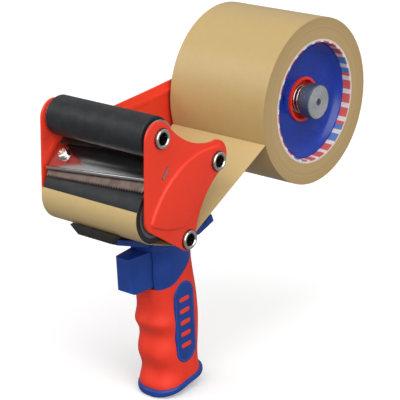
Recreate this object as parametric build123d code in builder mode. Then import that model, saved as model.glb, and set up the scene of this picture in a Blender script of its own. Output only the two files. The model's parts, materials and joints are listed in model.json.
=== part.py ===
"""Hand-held packing tape dispenser with a pistol grip, for 75 mm tape on a 76 mm core.

Frame: X runs across the tape towards the open side of the roll, Y to the rear and Z up.
The origin is the middle of the bottom tie tube. Sizes are millimetres.
"""

import os
from math import acos, atan2, cos, degrees, dist, radians, sin, sqrt

from build123d import *

os.makedirs("parts", exist_ok=True)

# ---------------------------------------------------------------- driving dimensions
TAPE_WIDTH = 75.0
ROLL_RADIUS = 53.8
CORE_BORE_RADIUS = 38.0
CORE_WALL = 2.0

PLATE_GAP = 80.0  # between the inner faces of the side plates
PLATE_THICKNESS = 1.5
EMBOSS_HEIGHT = 1.2

# Centres in the side view, as (y, z)
BOTTOM_TIE = (0.0, 0.0)
REAR_TIE = (25.8, 42.0)
TOP_AXLE = (-22.7, 66.7)
LOWER_AXLE = (-23.5, 20.8)
ROLL_CENTRE = (129.5, 54.9)
TRIGGER_PIVOT = (12.0, -21.5)

TUBE_RADIUS = 4.6
TUBE_BORE_RADIUS = 3.8
FLARE_RADIUS = 5.7
WASHER_RADIUS = 6.2
WASHER_THICKNESS = 0.8
RUNNING_GAP = 0.06

TOP_ROLLER_RADIUS = 12.1
LOWER_ROLLER_RADIUS = 17.0
LOWER_PIN_RADIUS = 4.0
HUB_AXLE_RADIUS = 4.0
TAPE_THICKNESS = 0.3
TAPE_CLEARANCE = 0.3

BLADE_ANGLE = 48.0
BLADE_SKEW = 4.0
CLAMP_SKEW = 6.0
TAB_UP = 19.0
TAB_OUT = -4.7
BLADE_ORIGIN = (-36.1, 34.4)  # middle of the row of teeth, as (y, z)

HALF_GRIP = 15.5
GRIP_CORNER = 13.0
TRIGGER_PIN_RADIUS = 2.0
TRIGGER_PIN_LOW_X = -13.5
TRIGGER_PIN_HIGH_X = 11.5

# ---------------------------------------------------------------- derived places
INNER_X = PLATE_GAP / 2
OUTER_X = INNER_X + PLATE_THICKNESS
EMBOSS_X = OUTER_X + EMBOSS_HEIGHT
HALF_TAPE = TAPE_WIDTH / 2


def spin_axis(centre):
    """Line through a side-view centre, along X."""
    return Axis((0, centre[0], centre[1]), (1, 0, 0))


def turning_plane(centre):
    """Plane to draw a turned profile on, as (x along the axis, radius)."""
    return Plane(origin=(0, centre[0], centre[1]), x_dir=(1, 0, 0), z_dir=(0, -1, 0))


def side_plane(x):
    """Side-view plane at x: sketch coordinates are (y, z)."""
    return Plane.YZ.offset(x)


def polar(centre, radius, degrees):
    """Side-view point at an angle from +Y round a centre."""
    angle = radians(degrees)
    return (centre[0] + radius * cos(angle), centre[1] + radius * sin(angle))


def blade_point(up, out):
    """Side-view point from the row of teeth: up the blade, and out from its front face."""
    angle = radians(BLADE_ANGLE)
    y = BLADE_ORIGIN[0] + up * cos(angle) - out * sin(angle)
    z = BLADE_ORIGIN[1] + up * sin(angle) + out * cos(angle)
    return (y, z)


def blade_plane(skew, out):
    """Plane in the blade's own surface, x across the tape and y up the blade."""
    y, z = blade_point(0, out)
    angle = radians(BLADE_ANGLE)
    flat = Plane(origin=(0, y, z), x_dir=(1, 0, 0), z_dir=(0, -sin(angle), cos(angle)))
    return Plane(flat.location * Rotation(0, 0, skew))


def ring(inner, outer, low, high):
    """Corners of a turned ring's half section."""
    return [(low, inner), (high, inner), (high, outer), (low, outer)]


def save(piece, name):
    piece.part.label = name
    export_step(piece.part, f"parts/{name}.step")


# ---------------------------------------------------------------- side plates
TOP_LOBE = (-25.2, 66.3)
TOP_LOBE_RADIUS = 10.8
REAR_LOBE = (25.0, 44.5)
REAR_LOBE_RADIUS = 10.2
BOTTOM_LOBE_RADIUS = 6.9
FRONT_LOW_CORNER = (-37.2, 15.8)
FOOT_TOP_Z = -7.6
FOOT_REAR_Y = 46.0
FOOT_FRONT_Y = 9.0


def front_edges():
    """Outline shared by both plates: up the front and over the top lobe."""
    corner_in = (FRONT_LOW_CORNER[0] + 4.2, FRONT_LOW_CORNER[1] - 2.6)
    corner_out = (FRONT_LOW_CORNER[0] + 0.1, FRONT_LOW_CORNER[1] + 4.4)
    Line(polar(BOTTOM_TIE, BOTTOM_LOBE_RADIUS, -122), corner_in)
    ThreePointArc(corner_in, (FRONT_LOW_CORNER[0] + 1.2, FRONT_LOW_CORNER[1] + 0.4), corner_out)
    Line(corner_out, polar(TOP_LOBE, TOP_LOBE_RADIUS, 180))
    ThreePointArc(
        polar(TOP_LOBE, TOP_LOBE_RADIUS, 180),
        polar(TOP_LOBE, TOP_LOBE_RADIUS, 100),
        polar(TOP_LOBE, TOP_LOBE_RADIUS, 36),
    )


def emboss_outline():
    """Raised panel between the three tubes."""
    front_low = (-32.9, 18.6)
    rear_low = (-0.5, 11.6)
    rear_lobe_low = polar(REAR_LOBE, REAR_LOBE_RADIUS - 3.0, -42)
    rear_lobe_top = polar(REAR_LOBE, REAR_LOBE_RADIUS - 3.0, 100)
    ThreePointArc(front_low, (-14.6, 41.0), rear_lobe_top)
    ThreePointArc(rear_lobe_top, polar(REAR_LOBE, REAR_LOBE_RADIUS - 3.0, 20), rear_lobe_low)
    ThreePointArc(rear_lobe_low, (13.5, 22.8), rear_low)
    ThreePointArc(rear_low, (-2.6, 9.6), (-5.5, 9.2))
    ThreePointArc((-5.5, 9.2), (-19.0, 10.9), (-29.5, 15.0))
    ThreePointArc((-29.5, 15.0), (-32.3, 16.5), front_low)


def tube_holes(x_low, height):
    """Round holes for the tubes, punched through a plate at x_low."""
    with BuildSketch(side_plane(x_low)) as holes:
        for centre in (BOTTOM_TIE, REAR_TIE, TOP_AXLE):
            with Locations(centre):
                Circle(TUBE_RADIUS)
    extrude(holes.sketch, amount=height, mode=Mode.SUBTRACT)


def bracket_slot(x_low, height):
    """Slanted slot for the blade bracket's tab."""
    with BuildSketch(side_plane(x_low)) as slot:
        with Locations(blade_point(TAB_UP, TAB_OUT)):
            Rectangle(7.8, 1.7, rotation=BLADE_ANGLE)
    extrude(slot.sketch, amount=height, mode=Mode.SUBTRACT)


def emboss(outer_x, direction):
    """Press the raised panel outwards and hollow it behind."""
    with BuildSketch(side_plane(outer_x)) as panel:
        with BuildLine():
            emboss_outline()
        make_face()
    extrude(panel.sketch, amount=direction * EMBOSS_HEIGHT, taper=35)
    with BuildSketch(side_plane(outer_x - direction * PLATE_THICKNESS)) as hollow:
        with BuildLine():
            emboss_outline()
        make_face()
        offset(amount=-0.9, kind=Kind.INTERSECTION)
    extrude(hollow.sketch, amount=direction * EMBOSS_HEIGHT, taper=35, mode=Mode.SUBTRACT)


with BuildPart() as right_side_plate:
    with BuildSketch(side_plane(INNER_X)):
        with BuildLine():
            front_edges()
            rear_top = polar(REAR_LOBE, REAR_LOBE_RADIUS, 105)
            rear_low = polar(REAR_LOBE, REAR_LOBE_RADIUS, -50)
            bottom_rear = polar(BOTTOM_TIE, BOTTOM_LOBE_RADIUS, 23)
            ThreePointArc(polar(TOP_LOBE, TOP_LOBE_RADIUS, 36), (-1.5, 60.7), rear_top)
            ThreePointArc(rear_top, polar(REAR_LOBE, REAR_LOBE_RADIUS, 20), rear_low)
            ThreePointArc(rear_low, (15.6, 22.8), bottom_rear)
            ThreePointArc(
                bottom_rear,
                polar(BOTTOM_TIE, BOTTOM_LOBE_RADIUS, -50),
                polar(BOTTOM_TIE, BOTTOM_LOBE_RADIUS, -122),
            )
        make_face()
    extrude(amount=PLATE_THICKNESS)
    emboss(OUTER_X, 1)
    tube_holes(INNER_X, 2 * PLATE_THICKNESS)
    bracket_slot(INNER_X, 2 * PLATE_THICKNESS)
save(right_side_plate, "right_side_plate")

ARM_END_RADIUS = 17.0
FOOT_INNER_X = 12.0

with BuildPart() as left_side_plate:
    with BuildSketch(side_plane(-OUTER_X)):
        with BuildLine():
            front_edges()
            arm_top = polar(ROLL_CENTRE, ARM_END_RADIUS, 95)
            arm_low = polar(ROLL_CENTRE, ARM_END_RADIUS, -62)
            foot_low = FOOT_TOP_Z - PLATE_THICKNESS
            Spline(polar(TOP_LOBE, TOP_LOBE_RADIUS, 36), (0.0, 61.5), (28.0, 60.9), (78.8, 66.4), arm_top)
            ThreePointArc(arm_top, polar(ROLL_CENTRE, ARM_END_RADIUS, 10), arm_low)
            Line(arm_low, (58.0, 2.0))
            ThreePointArc((58.0, 2.0), (53.5, -6.0), (FOOT_REAR_Y, foot_low))
            Line((FOOT_REAR_Y, foot_low), (6.0, foot_low))
            ThreePointArc((6.0, foot_low), (0.5, -8.4), polar(BOTTOM_TIE, BOTTOM_LOBE_RADIUS, -122))
        make_face()
    extrude(amount=PLATE_THICKNESS)
    with BuildSketch(Plane.XY.offset(FOOT_TOP_Z - PLATE_THICKNESS)):
        with Locations((-OUTER_X, (FOOT_FRONT_Y + FOOT_REAR_Y) / 2)):
            Rectangle(OUTER_X + FOOT_INNER_X, FOOT_REAR_Y - FOOT_FRONT_Y, align=(Align.MIN, Align.CENTER))
    extrude(amount=PLATE_THICKNESS)
    emboss(-OUTER_X, -1)
    # Pressed rib along the top of the arm, raised towards the roll
    with BuildSketch(side_plane(-INNER_X)):
        with BuildLine():
            Spline((34.0, 57.8), (55.0, 58.6), (76.9, 61.6), (100.0, 65.2))
            Spline((34.0, 55.8), (55.0, 56.4), (76.9, 59.4), (100.0, 63.0))
            Line((34.0, 57.8), (34.0, 55.8))
            Line((100.0, 65.2), (100.0, 63.0))
        make_face()
    extrude(amount=0.8)
    with BuildSketch(side_plane(-INNER_X)):
        with Locations((-31.7, 50.8)):
            Circle(4.4)
    extrude(amount=-0.7, mode=Mode.SUBTRACT)
    tube_holes(-EMBOSS_X, 2 * PLATE_THICKNESS)
    bracket_slot(-EMBOSS_X, 2 * PLATE_THICKNESS)
    with BuildSketch(side_plane(-EMBOSS_X)):
        with Locations(ROLL_CENTRE):
            Circle(HUB_AXLE_RADIUS)
    extrude(amount=2 * PLATE_THICKNESS, mode=Mode.SUBTRACT)
    with BuildSketch(Plane.XY.offset(FOOT_TOP_Z - PLATE_THICKNESS)):
        with Locations((0, 19.0), (0, 37.0)):
            Circle(2.6)
    extrude(amount=PLATE_THICKNESS, mode=Mode.SUBTRACT)
save(left_side_plate, "left_side_plate")

# ---------------------------------------------------------------- tubes and lock washers
TUBE_SEATS = {
    "top_axle_tube": (TOP_AXLE, OUTER_X),
    "rear_tie_tube": (REAR_TIE, EMBOSS_X),
    "bottom_tie_tube": (BOTTOM_TIE, OUTER_X),
}


def flared_tube(centre, seat_x):
    """Tube through both plates, with its ends rolled over the lock washers."""
    rim_in = seat_x + WASHER_THICKNESS
    rim_out = rim_in + 1.1
    with BuildPart() as tube:
        with BuildSketch(turning_plane(centre)):
            with BuildLine():
                Polyline(
                    (-rim_out, TUBE_BORE_RADIUS + 0.5),
                    (-rim_out + 0.5, TUBE_BORE_RADIUS),
                    (rim_out - 0.5, TUBE_BORE_RADIUS),
                    (rim_out, TUBE_BORE_RADIUS + 0.5),
                    (rim_out, FLARE_RADIUS - 0.4),
                    (rim_out - 0.4, FLARE_RADIUS),
                    (rim_in, FLARE_RADIUS),
                    (rim_in, TUBE_RADIUS),
                    (-rim_in, TUBE_RADIUS),
                    (-rim_in, FLARE_RADIUS),
                    (-rim_out + 0.4, FLARE_RADIUS),
                    (-rim_out, FLARE_RADIUS - 0.4),
                    close=True,
                )
            make_face()
        revolve(axis=spin_axis(centre))
    return tube


for tube_name, (tube_centre, tube_seat) in TUBE_SEATS.items():
    save(flared_tube(tube_centre, tube_seat), tube_name)

with BuildPart() as lock_washers:
    for tube_centre, tube_seat in TUBE_SEATS.values():
        for x_low in (tube_seat, -tube_seat - WASHER_THICKNESS):
            with BuildSketch(side_plane(x_low)):
                with Locations(tube_centre):
                    Circle(WASHER_RADIUS)
                    Circle(TUBE_RADIUS, mode=Mode.SUBTRACT)
                    with PolarLocations(WASHER_RADIUS, 16):
                        Rectangle(0.9, 1.1, mode=Mode.SUBTRACT)
            extrude(amount=WASHER_THICKNESS)
save(lock_washers, "lock_washers")

# ---------------------------------------------------------------- lower roller mounting
EAR_X = INNER_X - 0.1
EAR_THICKNESS = 1.2


def roller_ear(x_low):
    """Link from the bottom tube to the lower roller's pin."""
    with BuildPart() as ear:
        with BuildSketch(side_plane(x_low)):
            with Locations(BOTTOM_TIE):
                Circle(7.0)
            with Locations(LOWER_AXLE):
                Circle(8.0)
            make_hull()
            with Locations(BOTTOM_TIE):
                Circle(TUBE_RADIUS, mode=Mode.SUBTRACT)
            with Locations(LOWER_AXLE):
                Circle(LOWER_PIN_RADIUS, mode=Mode.SUBTRACT)
        extrude(amount=EAR_THICKNESS)
    return ear


save(roller_ear(EAR_X - EAR_THICKNESS), "roller_ear_right")
save(roller_ear(-EAR_X), "roller_ear_left")

with BuildPart() as lower_roller_axle:
    head = EMBOSS_X - PLATE_THICKNESS - 0.15
    with BuildSketch(turning_plane(LOWER_AXLE)):
        with BuildLine():
            Polyline(
                (-head, 0),
                (head, 0),
                (head, 5.5),
                (EAR_X, 5.5),
                (EAR_X, LOWER_PIN_RADIUS),
                (-EAR_X, LOWER_PIN_RADIUS),
                (-EAR_X, 5.5),
                (-head, 5.5),
                close=True,
            )
        make_face()
    revolve(axis=spin_axis(LOWER_AXLE))
save(lower_roller_axle, "lower_roller_axle")

# ---------------------------------------------------------------- rollers
SLEEVE_WALL = 3.0
TOP_BUSH_RADIUS = 8.2
LOW_BUSH_RADIUS = 7.0


def turned(centre, *sections):
    """Turned piece made of rings, each (inner radius, outer radius, low x, high x)."""
    with BuildPart() as piece:
        with BuildSketch(turning_plane(centre)):
            for section in sections:
                with BuildLine():
                    Polyline(*ring(*section), close=True)
                make_face()
        revolve(axis=spin_axis(centre))
    return piece


def sleeve(centre, outer, low, high, corner):
    """Rubber sleeve with its two outer corners rounded."""
    with BuildPart() as piece:
        with BuildSketch(turning_plane(centre)) as wall:
            with BuildLine():
                Polyline(*ring(outer - SLEEVE_WALL, outer, low, high), close=True)
            make_face()
            fillet(wall.vertices().sort_by(Axis.Y)[-2:], radius=corner)
        revolve(axis=spin_axis(centre))
    return piece


top_low_x, top_high_x = -38.3, 36.6
top_core_radius = TOP_ROLLER_RADIUS - SLEEVE_WALL
save(sleeve(TOP_AXLE, TOP_ROLLER_RADIUS, top_low_x, top_high_x, 0.8), "top_roller_sleeve")
top_core = turned(TOP_AXLE, (TOP_BUSH_RADIUS, top_core_radius, top_low_x + 0.8, top_high_x - 1.5))
save(top_core, "top_roller_core")
top_bush_bore = TUBE_RADIUS + RUNNING_GAP
top_roller_bushes = turned(
    TOP_AXLE,
    (top_bush_bore, TOP_BUSH_RADIUS, top_low_x + 0.8, top_low_x + 7.8),
    (top_bush_bore, TOP_BUSH_RADIUS, top_high_x - 8.5, top_high_x - 1.5),
)
save(top_roller_bushes, "top_roller_bushes")
top_roller_washers = turned(
    TOP_AXLE,
    (TUBE_RADIUS, 10.4, -INNER_X, -INNER_X + 1.6),
    (TUBE_RADIUS, 10.4, INNER_X - 1.6, INNER_X),
)
save(top_roller_washers, "top_roller_washers")

low_end_x = 37.4
low_core_radius = LOWER_ROLLER_RADIUS - SLEEVE_WALL
save(sleeve(LOWER_AXLE, LOWER_ROLLER_RADIUS, -low_end_x, low_end_x, 0.6), "lower_roller_sleeve")
low_core = turned(
    LOWER_AXLE,
    (low_core_radius - 2.0, low_core_radius, -low_end_x + 0.6, low_end_x - 0.6),
    (LOW_BUSH_RADIUS, low_core_radius - 1.0, -low_end_x + 1.8, -low_end_x + 4.3),
    (LOW_BUSH_RADIUS, low_core_radius - 1.0, low_end_x - 4.3, low_end_x - 1.8),
)
save(low_core, "lower_roller_core")

low_bush_bore = LOWER_PIN_RADIUS + RUNNING_GAP
lower_roller_bushes = turned(
    LOWER_AXLE,
    (low_bush_bore, LOW_BUSH_RADIUS, -low_end_x - 0.4, -low_end_x + 7.6),
    (low_bush_bore, LOW_BUSH_RADIUS, low_end_x - 7.6, low_end_x + 0.4),
)
save(lower_roller_bushes, "lower_roller_bushes")

# ---------------------------------------------------------------- blade set
BLADE_HALF_WIDTH = 36.8
BLADE_THICKNESS = 0.6
TEETH = 38
TOOTH_DEPTH = 1.7
SCREW_PLACES = [(-31.5, 13.6), (35.6, 17.6)]  # across, and up from the teeth
BRACKET_SHEET = 1.5

with BuildPart() as blade_bracket:
    # Folded channel: front strip behind the blade, step, and return strip with the tabs
    front_face = -BLADE_THICKNESS
    return_face = TAB_OUT + BRACKET_SHEET / 2
    outline = [
        blade_point(6.2, front_face),
        blade_point(24.4, front_face),
        blade_point(24.4, return_face - BRACKET_SHEET),
        blade_point(15.0, return_face - BRACKET_SHEET),
        blade_point(15.0, return_face),
        blade_point(24.4 - BRACKET_SHEET, return_face),
        blade_point(24.4 - BRACKET_SHEET, front_face - BRACKET_SHEET),
        blade_point(6.2, front_face - BRACKET_SHEET),
    ]
    with BuildSketch(side_plane(-INNER_X + 0.3)):
        with BuildLine():
            Polyline(*outline, close=True)
        make_face()
    extrude(amount=2 * (INNER_X - 0.3))
    with BuildSketch(side_plane(-OUTER_X - 0.4)):
        with Locations(blade_point(TAB_UP, TAB_OUT)):
            Rectangle(7.2, 1.3, rotation=BLADE_ANGLE)
    extrude(amount=2 * (OUTER_X + 0.4))
    with BuildSketch(blade_plane(0, -2 * BRACKET_SHEET)):
        with Locations(*SCREW_PLACES):
            Circle(2.05)
    extrude(amount=2 * BRACKET_SHEET, mode=Mode.SUBTRACT)
save(blade_bracket, "blade_bracket")

with BuildPart() as blade:
    with BuildSketch(blade_plane(BLADE_SKEW, -BLADE_THICKNESS)):
        with BuildLine():
            pitch = 2 * BLADE_HALF_WIDTH / TEETH
            points = [(-BLADE_HALF_WIDTH, TOOTH_DEPTH)]
            for tooth in range(TEETH):
                left = -BLADE_HALF_WIDTH + tooth * pitch
                points.append((left + pitch / 2, 0.0))
                points.append((left + pitch, TOOTH_DEPTH))
            points.append((BLADE_HALF_WIDTH, 15.5))
            points.append((-BLADE_HALF_WIDTH, 15.5))
            Polyline(*points, close=True)
        make_face()
    extrude(amount=BLADE_THICKNESS)
    with BuildSketch(blade_plane(0, -2 * BLADE_THICKNESS)):
        with Locations(*SCREW_PLACES):
            SlotOverall(8.0, 4.6, rotation=90)
    extrude(amount=3 * BLADE_THICKNESS, mode=Mode.SUBTRACT)
save(blade, "blade")

CLAMP_SHEET = 1.0
CLAMP_LOW = 5.3
CLAMP_HIGH = 23.0

with BuildPart() as blade_clamp:
    clamp_face = blade_plane(CLAMP_SKEW, 0)
    clamp_end = Plane(
        origin=clamp_face.from_local_coords((-37.0, 0, 0)),
        x_dir=clamp_face.y_dir,
        z_dir=clamp_face.x_dir,
    )
    with BuildSketch(clamp_end):
        with BuildLine():
            # Flat sheet, then a lip that rolls outwards along its lower edge
            Polyline(
                (CLAMP_LOW + 1.4, CLAMP_SHEET),
                (CLAMP_HIGH, CLAMP_SHEET),
                (CLAMP_HIGH, 0),
                (CLAMP_LOW + 1.4, 0),
            )
            ThreePointArc((CLAMP_LOW + 1.4, 0), (CLAMP_LOW, 1.3), (CLAMP_LOW + 1.2, 2.7))
            Line((CLAMP_LOW + 1.2, 2.7), (CLAMP_LOW + 1.9, 2.0))
            ThreePointArc(
                (CLAMP_LOW + 1.9, 2.0), (CLAMP_LOW + 1.0, 1.4), (CLAMP_LOW + 1.4, CLAMP_SHEET)
            )
        make_face()
    extrude(amount=75.4)
    with BuildSketch(blade_plane(0, -1)):
        with Locations(*SCREW_PLACES):
            SlotOverall(8.0, 4.4, rotation=90)
    extrude(amount=4, mode=Mode.SUBTRACT)
save(blade_clamp, "blade_clamp")

with BuildPart() as blade_screws:
    for place in SCREW_PLACES:
        with BuildSketch(blade_plane(0, CLAMP_SHEET)):
            with Locations(place):
                Circle(3.8)
        extrude(amount=1.9)
        with BuildSketch(blade_plane(0, CLAMP_SHEET)):
            with Locations(place):
                Circle(2.0)
        extrude(amount=-4.4)
    heads = blade_screws.edges().filter_by(GeomType.CIRCLE).group_by(SortBy.RADIUS)[-1]
    crowns = heads.sort_by(Axis((0, 0, 0), blade_plane(0, 0).z_dir))[-2:]
    fillet(crowns, radius=1.2)
    with BuildSketch(blade_plane(0, CLAMP_SHEET + 2.0)):
        with Locations(*SCREW_PLACES):
            Rectangle(3.8, 0.8)
            Rectangle(0.8, 3.8)
    extrude(amount=-1.3, mode=Mode.SUBTRACT)
save(blade_screws, "blade_screws")

with BuildPart() as blade_nuts:
    with BuildSketch(blade_plane(0, -BLADE_THICKNESS - BRACKET_SHEET)):
        with Locations(*SCREW_PLACES):
            RegularPolygon(3.2, 6)
            Circle(2.0, mode=Mode.SUBTRACT)
    extrude(amount=-1.2)
save(blade_nuts, "blade_nuts")

# ---------------------------------------------------------------- handle
# Grip stations: height, front and rear edge in the middle plane
GRIP_STATIONS = [
    (-14.5, 4.2, 40.2),
    (-22.0, 4.2, 40.3),
    (-30.0, 4.4, 40.9),
    (-38.0, 5.0, 42.4),
    (-46.0, 6.6, 44.1),
    (-53.0, 7.8, 45.4),
    (-60.0, 7.9, 46.3),
    (-66.5, 6.2, 46.9),
    (-73.0, 9.2, 47.0),
    (-80.5, 9.9, 46.8),
    (-89.0, 8.6, 46.3),
    (-95.5, 10.8, 46.3),
    (-102.5, 11.6, 47.4),
    (-110.0, 9.4, 49.6),
    (-118.0, 7.6, 52.6),
]
PLATFORM_TOP = FOOT_TOP_Z - PLATE_THICKNESS
PLATFORM_BOTTOM = -14.6
PLATFORM_HALF = 15.2
CAP_CENTRE = (29.6, -107.6)

with BuildPart() as handle_form:
    for height, front_y, rear_y in GRIP_STATIONS:
        with BuildSketch(Plane.XY.offset(height)):
            with Locations((0, (front_y + rear_y) / 2)):
                RectangleRounded(2 * HALF_GRIP, rear_y - front_y, GRIP_CORNER)
    loft()

with BuildPart() as head_zone:
    # Everything above the curved seam between the head and the grip
    with BuildSketch(side_plane(-30)):
        with BuildLine():
            ThreePointArc((8.0, -43.0), (25.6, -34.0), (38.8, -14.7))
            Polyline((38.8, -14.7), (60, -14.7), (60, 0), (-20, 0), (-20, -43.0), (8.0, -43.0))
        make_face()
    extrude(amount=60)

cap_axis = Plane(origin=(0, CAP_CENTRE[0], CAP_CENTRE[1]), z_dir=(0, 0, 1))

with BuildPart() as cap_zone:
    # Everything below the curved seam between the grip and the end cap
    with BuildSketch(side_plane(-30)):
        with BuildLine():
            ThreePointArc((0.0, -114.2), (24.0, -108.5), (60.0, -102.4))
            Polyline((60.0, -102.4), (60.0, -140.0), (0.0, -140.0), (0.0, -114.2))
        make_face()
    extrude(amount=60)

CAP_SCREW_RADIUS = 1.6
SPINE = (9.5, 20.0, 36.0)  # half width, front y, rear y at the top

with BuildPart() as spine_form:
    with BuildSketch(Plane.XY.offset(-30)):
        with Locations((0, (SPINE[1] + SPINE[2]) / 2)):
            RectangleRounded(2 * SPINE[0], SPINE[2] - SPINE[1], 2.0)
    with BuildSketch(Plane.XY.offset(-109)):
        with Locations((0, (SPINE[1] + SPINE[2]) / 2 + 3.0)):
            RectangleRounded(2 * SPINE[0], SPINE[2] - SPINE[1], 2.0)
    loft()

with BuildPart() as handle_head:
    add(handle_form.part)
    add(head_zone.part, mode=Mode.INTERSECT)
    with BuildSketch(side_plane(-PLATFORM_HALF)):
        with BuildLine():
            Polyline(
                (-1.4, PLATFORM_TOP),
                (FOOT_REAR_Y + 0.5, PLATFORM_TOP),
                (53.0, -4.9),
                (54.9, -9.6),
                (46.6, -12.6),
                (41.0, PLATFORM_BOTTOM),
                (-1.4, PLATFORM_BOTTOM),
                close=True,
            )
        make_face()
    extrude(amount=2 * PLATFORM_HALF)
    add(spine_form.part)
    add(cap_zone.part, mode=Mode.SUBTRACT)
    # Pocket for the trigger lever, open at the front and below
    with BuildSketch(side_plane(-7.9)):
        with BuildLine():
            Polyline((-5, -16.8), (18.2, -16.8), (29.0, -28.0), (29.0, -46), (-5, -46), close=True)
        make_face()
    extrude(amount=15.8, mode=Mode.SUBTRACT)
    # Slot above the pocket for the lever's neck
    with BuildSketch(side_plane(-7.9)):
        Polygon((-5, -17.0), (6.8, -17.0), (6.8, -4.0), (-5, -4.0), align=None)
    extrude(amount=15.8, mode=Mode.SUBTRACT)
    with BuildSketch(side_plane(-20)):
        with Locations(TRIGGER_PIVOT):
            Circle(TRIGGER_PIN_RADIUS)
    extrude(amount=20 + TRIGGER_PIN_HIGH_X, mode=Mode.SUBTRACT)
    with BuildSketch(Plane.XY.offset(PLATFORM_TOP)):
        with Locations((0, 19.0), (0, 37.0)):
            Circle(2.0)
    extrude(amount=-5.4, mode=Mode.SUBTRACT)
    with BuildSketch(cap_axis.offset(-2.0)):
        Circle(CAP_SCREW_RADIUS)
    extrude(amount=14, mode=Mode.SUBTRACT)
save(handle_head, "handle_head")

INLAY_CENTRE = (26.4, -68.0)
INLAY_LENGTH = 55.0
INLAY_WIDTH = 18.0
INLAY_LEAN = 93.4
INLAY_DEPTH = 1.6


def inlay_outline():
    with Locations(INLAY_CENTRE):
        SlotOverall(INLAY_LENGTH, INLAY_WIDTH, rotation=INLAY_LEAN)


def grip_half(side):
    """One soft grip shell, from the middle plane to x = side * half width."""
    with BuildPart() as half:
        add(handle_form.part)
        add(head_zone.part, mode=Mode.SUBTRACT)
        add(cap_zone.part, mode=Mode.SUBTRACT)
        with BuildSketch(Plane.XY.offset(-125)):
            Rectangle(30, 160, align=(Align.MIN if side > 0 else Align.MAX, Align.CENTER))
        extrude(amount=120, mode=Mode.INTERSECT)
        add(spine_form.part, mode=Mode.SUBTRACT)
        with BuildSketch(cap_axis.offset(-2.0)):
            Circle(CAP_SCREW_RADIUS + 0.6)
        extrude(amount=8.0, mode=Mode.SUBTRACT)
        with BuildSketch(side_plane(-8.2)):
            Polygon((-5, -20), (29.4, -20), (29.4, -46.5), (15.0, -46.5), (11.0, -42.8), (-5, -42.8), align=None)
        extrude(amount=16.4, mode=Mode.SUBTRACT)
        with BuildSketch(side_plane(side * (HALF_GRIP + 2))):
            inlay_outline()
        extrude(amount=-side * (INLAY_DEPTH + 2), mode=Mode.SUBTRACT)
    return half


save(grip_half(1), "grip_right")
save(grip_half(-1), "grip_left")


def grip_inlay(side):
    """Oval panel let into the grip's flank, crowned a little proud of it."""
    with BuildPart() as inlay:
        with BuildSketch(side_plane(side * (HALF_GRIP - INLAY_DEPTH))):
            inlay_outline()
        extrude(amount=side * (INLAY_DEPTH + 0.3))
        outer_face = inlay.faces().sort_by(Axis.X)[-1 if side > 0 else 0]
        fillet(outer_face.edges(), radius=0.5)
    return inlay


save(grip_inlay(1), "grip_inlay_right")
save(grip_inlay(-1), "grip_inlay_left")

CAP_THICKNESS = 5.0
CAP_LENGTH = 43.4

with BuildPart() as end_cap:
    with BuildSketch(cap_axis.offset(-20)):
        RectangleRounded(2 * HALF_GRIP + 2.2, CAP_LENGTH, GRIP_CORNER + 2.0)
    extrude(amount=40)
    add(cap_zone.part, mode=Mode.INTERSECT)
    with BuildSketch(side_plane(-30)):
        with BuildLine():
            ThreePointArc((0.0, -120.5), (24.0, -113.2), (60.0, -108.2))
            Polyline((60.0, -108.2), (60.0, -140.0), (0.0, -140.0), (0.0, -120.5))
        make_face()
    extrude(amount=60, mode=Mode.SUBTRACT)
    fillet(end_cap.faces().sort_by(Axis.Z)[0].edges(), radius=2.0)
    with BuildSketch(cap_axis.offset(-14)):
        Circle(3.6)
    extrude(amount=14.0 - CAP_THICKNESS + 3.0, mode=Mode.SUBTRACT)
    with BuildSketch(cap_axis.offset(-14)):
        Circle(CAP_SCREW_RADIUS + 0.3)
    extrude(amount=18, mode=Mode.SUBTRACT)
save(end_cap, "end_cap")

with BuildPart() as end_cap_screw:
    with BuildSketch(cap_axis.offset(-CAP_THICKNESS + 0.8)):
        Circle(3.3)
    extrude(amount=2.2)
    with BuildSketch(cap_axis.offset(-CAP_THICKNESS + 3.0)):
        Circle(CAP_SCREW_RADIUS)
    extrude(amount=13.0)
save(end_cap_screw, "end_cap_screw")

with BuildPart() as handle_screws:
    with Locations((0, 19.0, FOOT_TOP_Z), (0, 37.0, FOOT_TOP_Z)):
        Cylinder(4.2, 1.6, align=(Align.CENTER, Align.CENTER, Align.MIN))
        Cylinder(2.0, 6.6, align=(Align.CENTER, Align.CENTER, Align.MAX))
save(handle_screws, "handle_screws")

# ---------------------------------------------------------------- trigger and tape shoe
NOSE_ROOT_HALF = 7.3
NOSE_FRONT_HALF = 5.5
NOSE_FRONT_TOP_Y = -13.4
NOSE_FRONT_LOW_Y = -11.8
ARM_HALF = 13.5
ARM_FRONT_Y = -31.0
ARM_REAR_Y = -1.8
NECK_HALF = 7.0
NECK_FRONT_Y = 3.2
NECK_REAR_Y = 6.0

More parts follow.
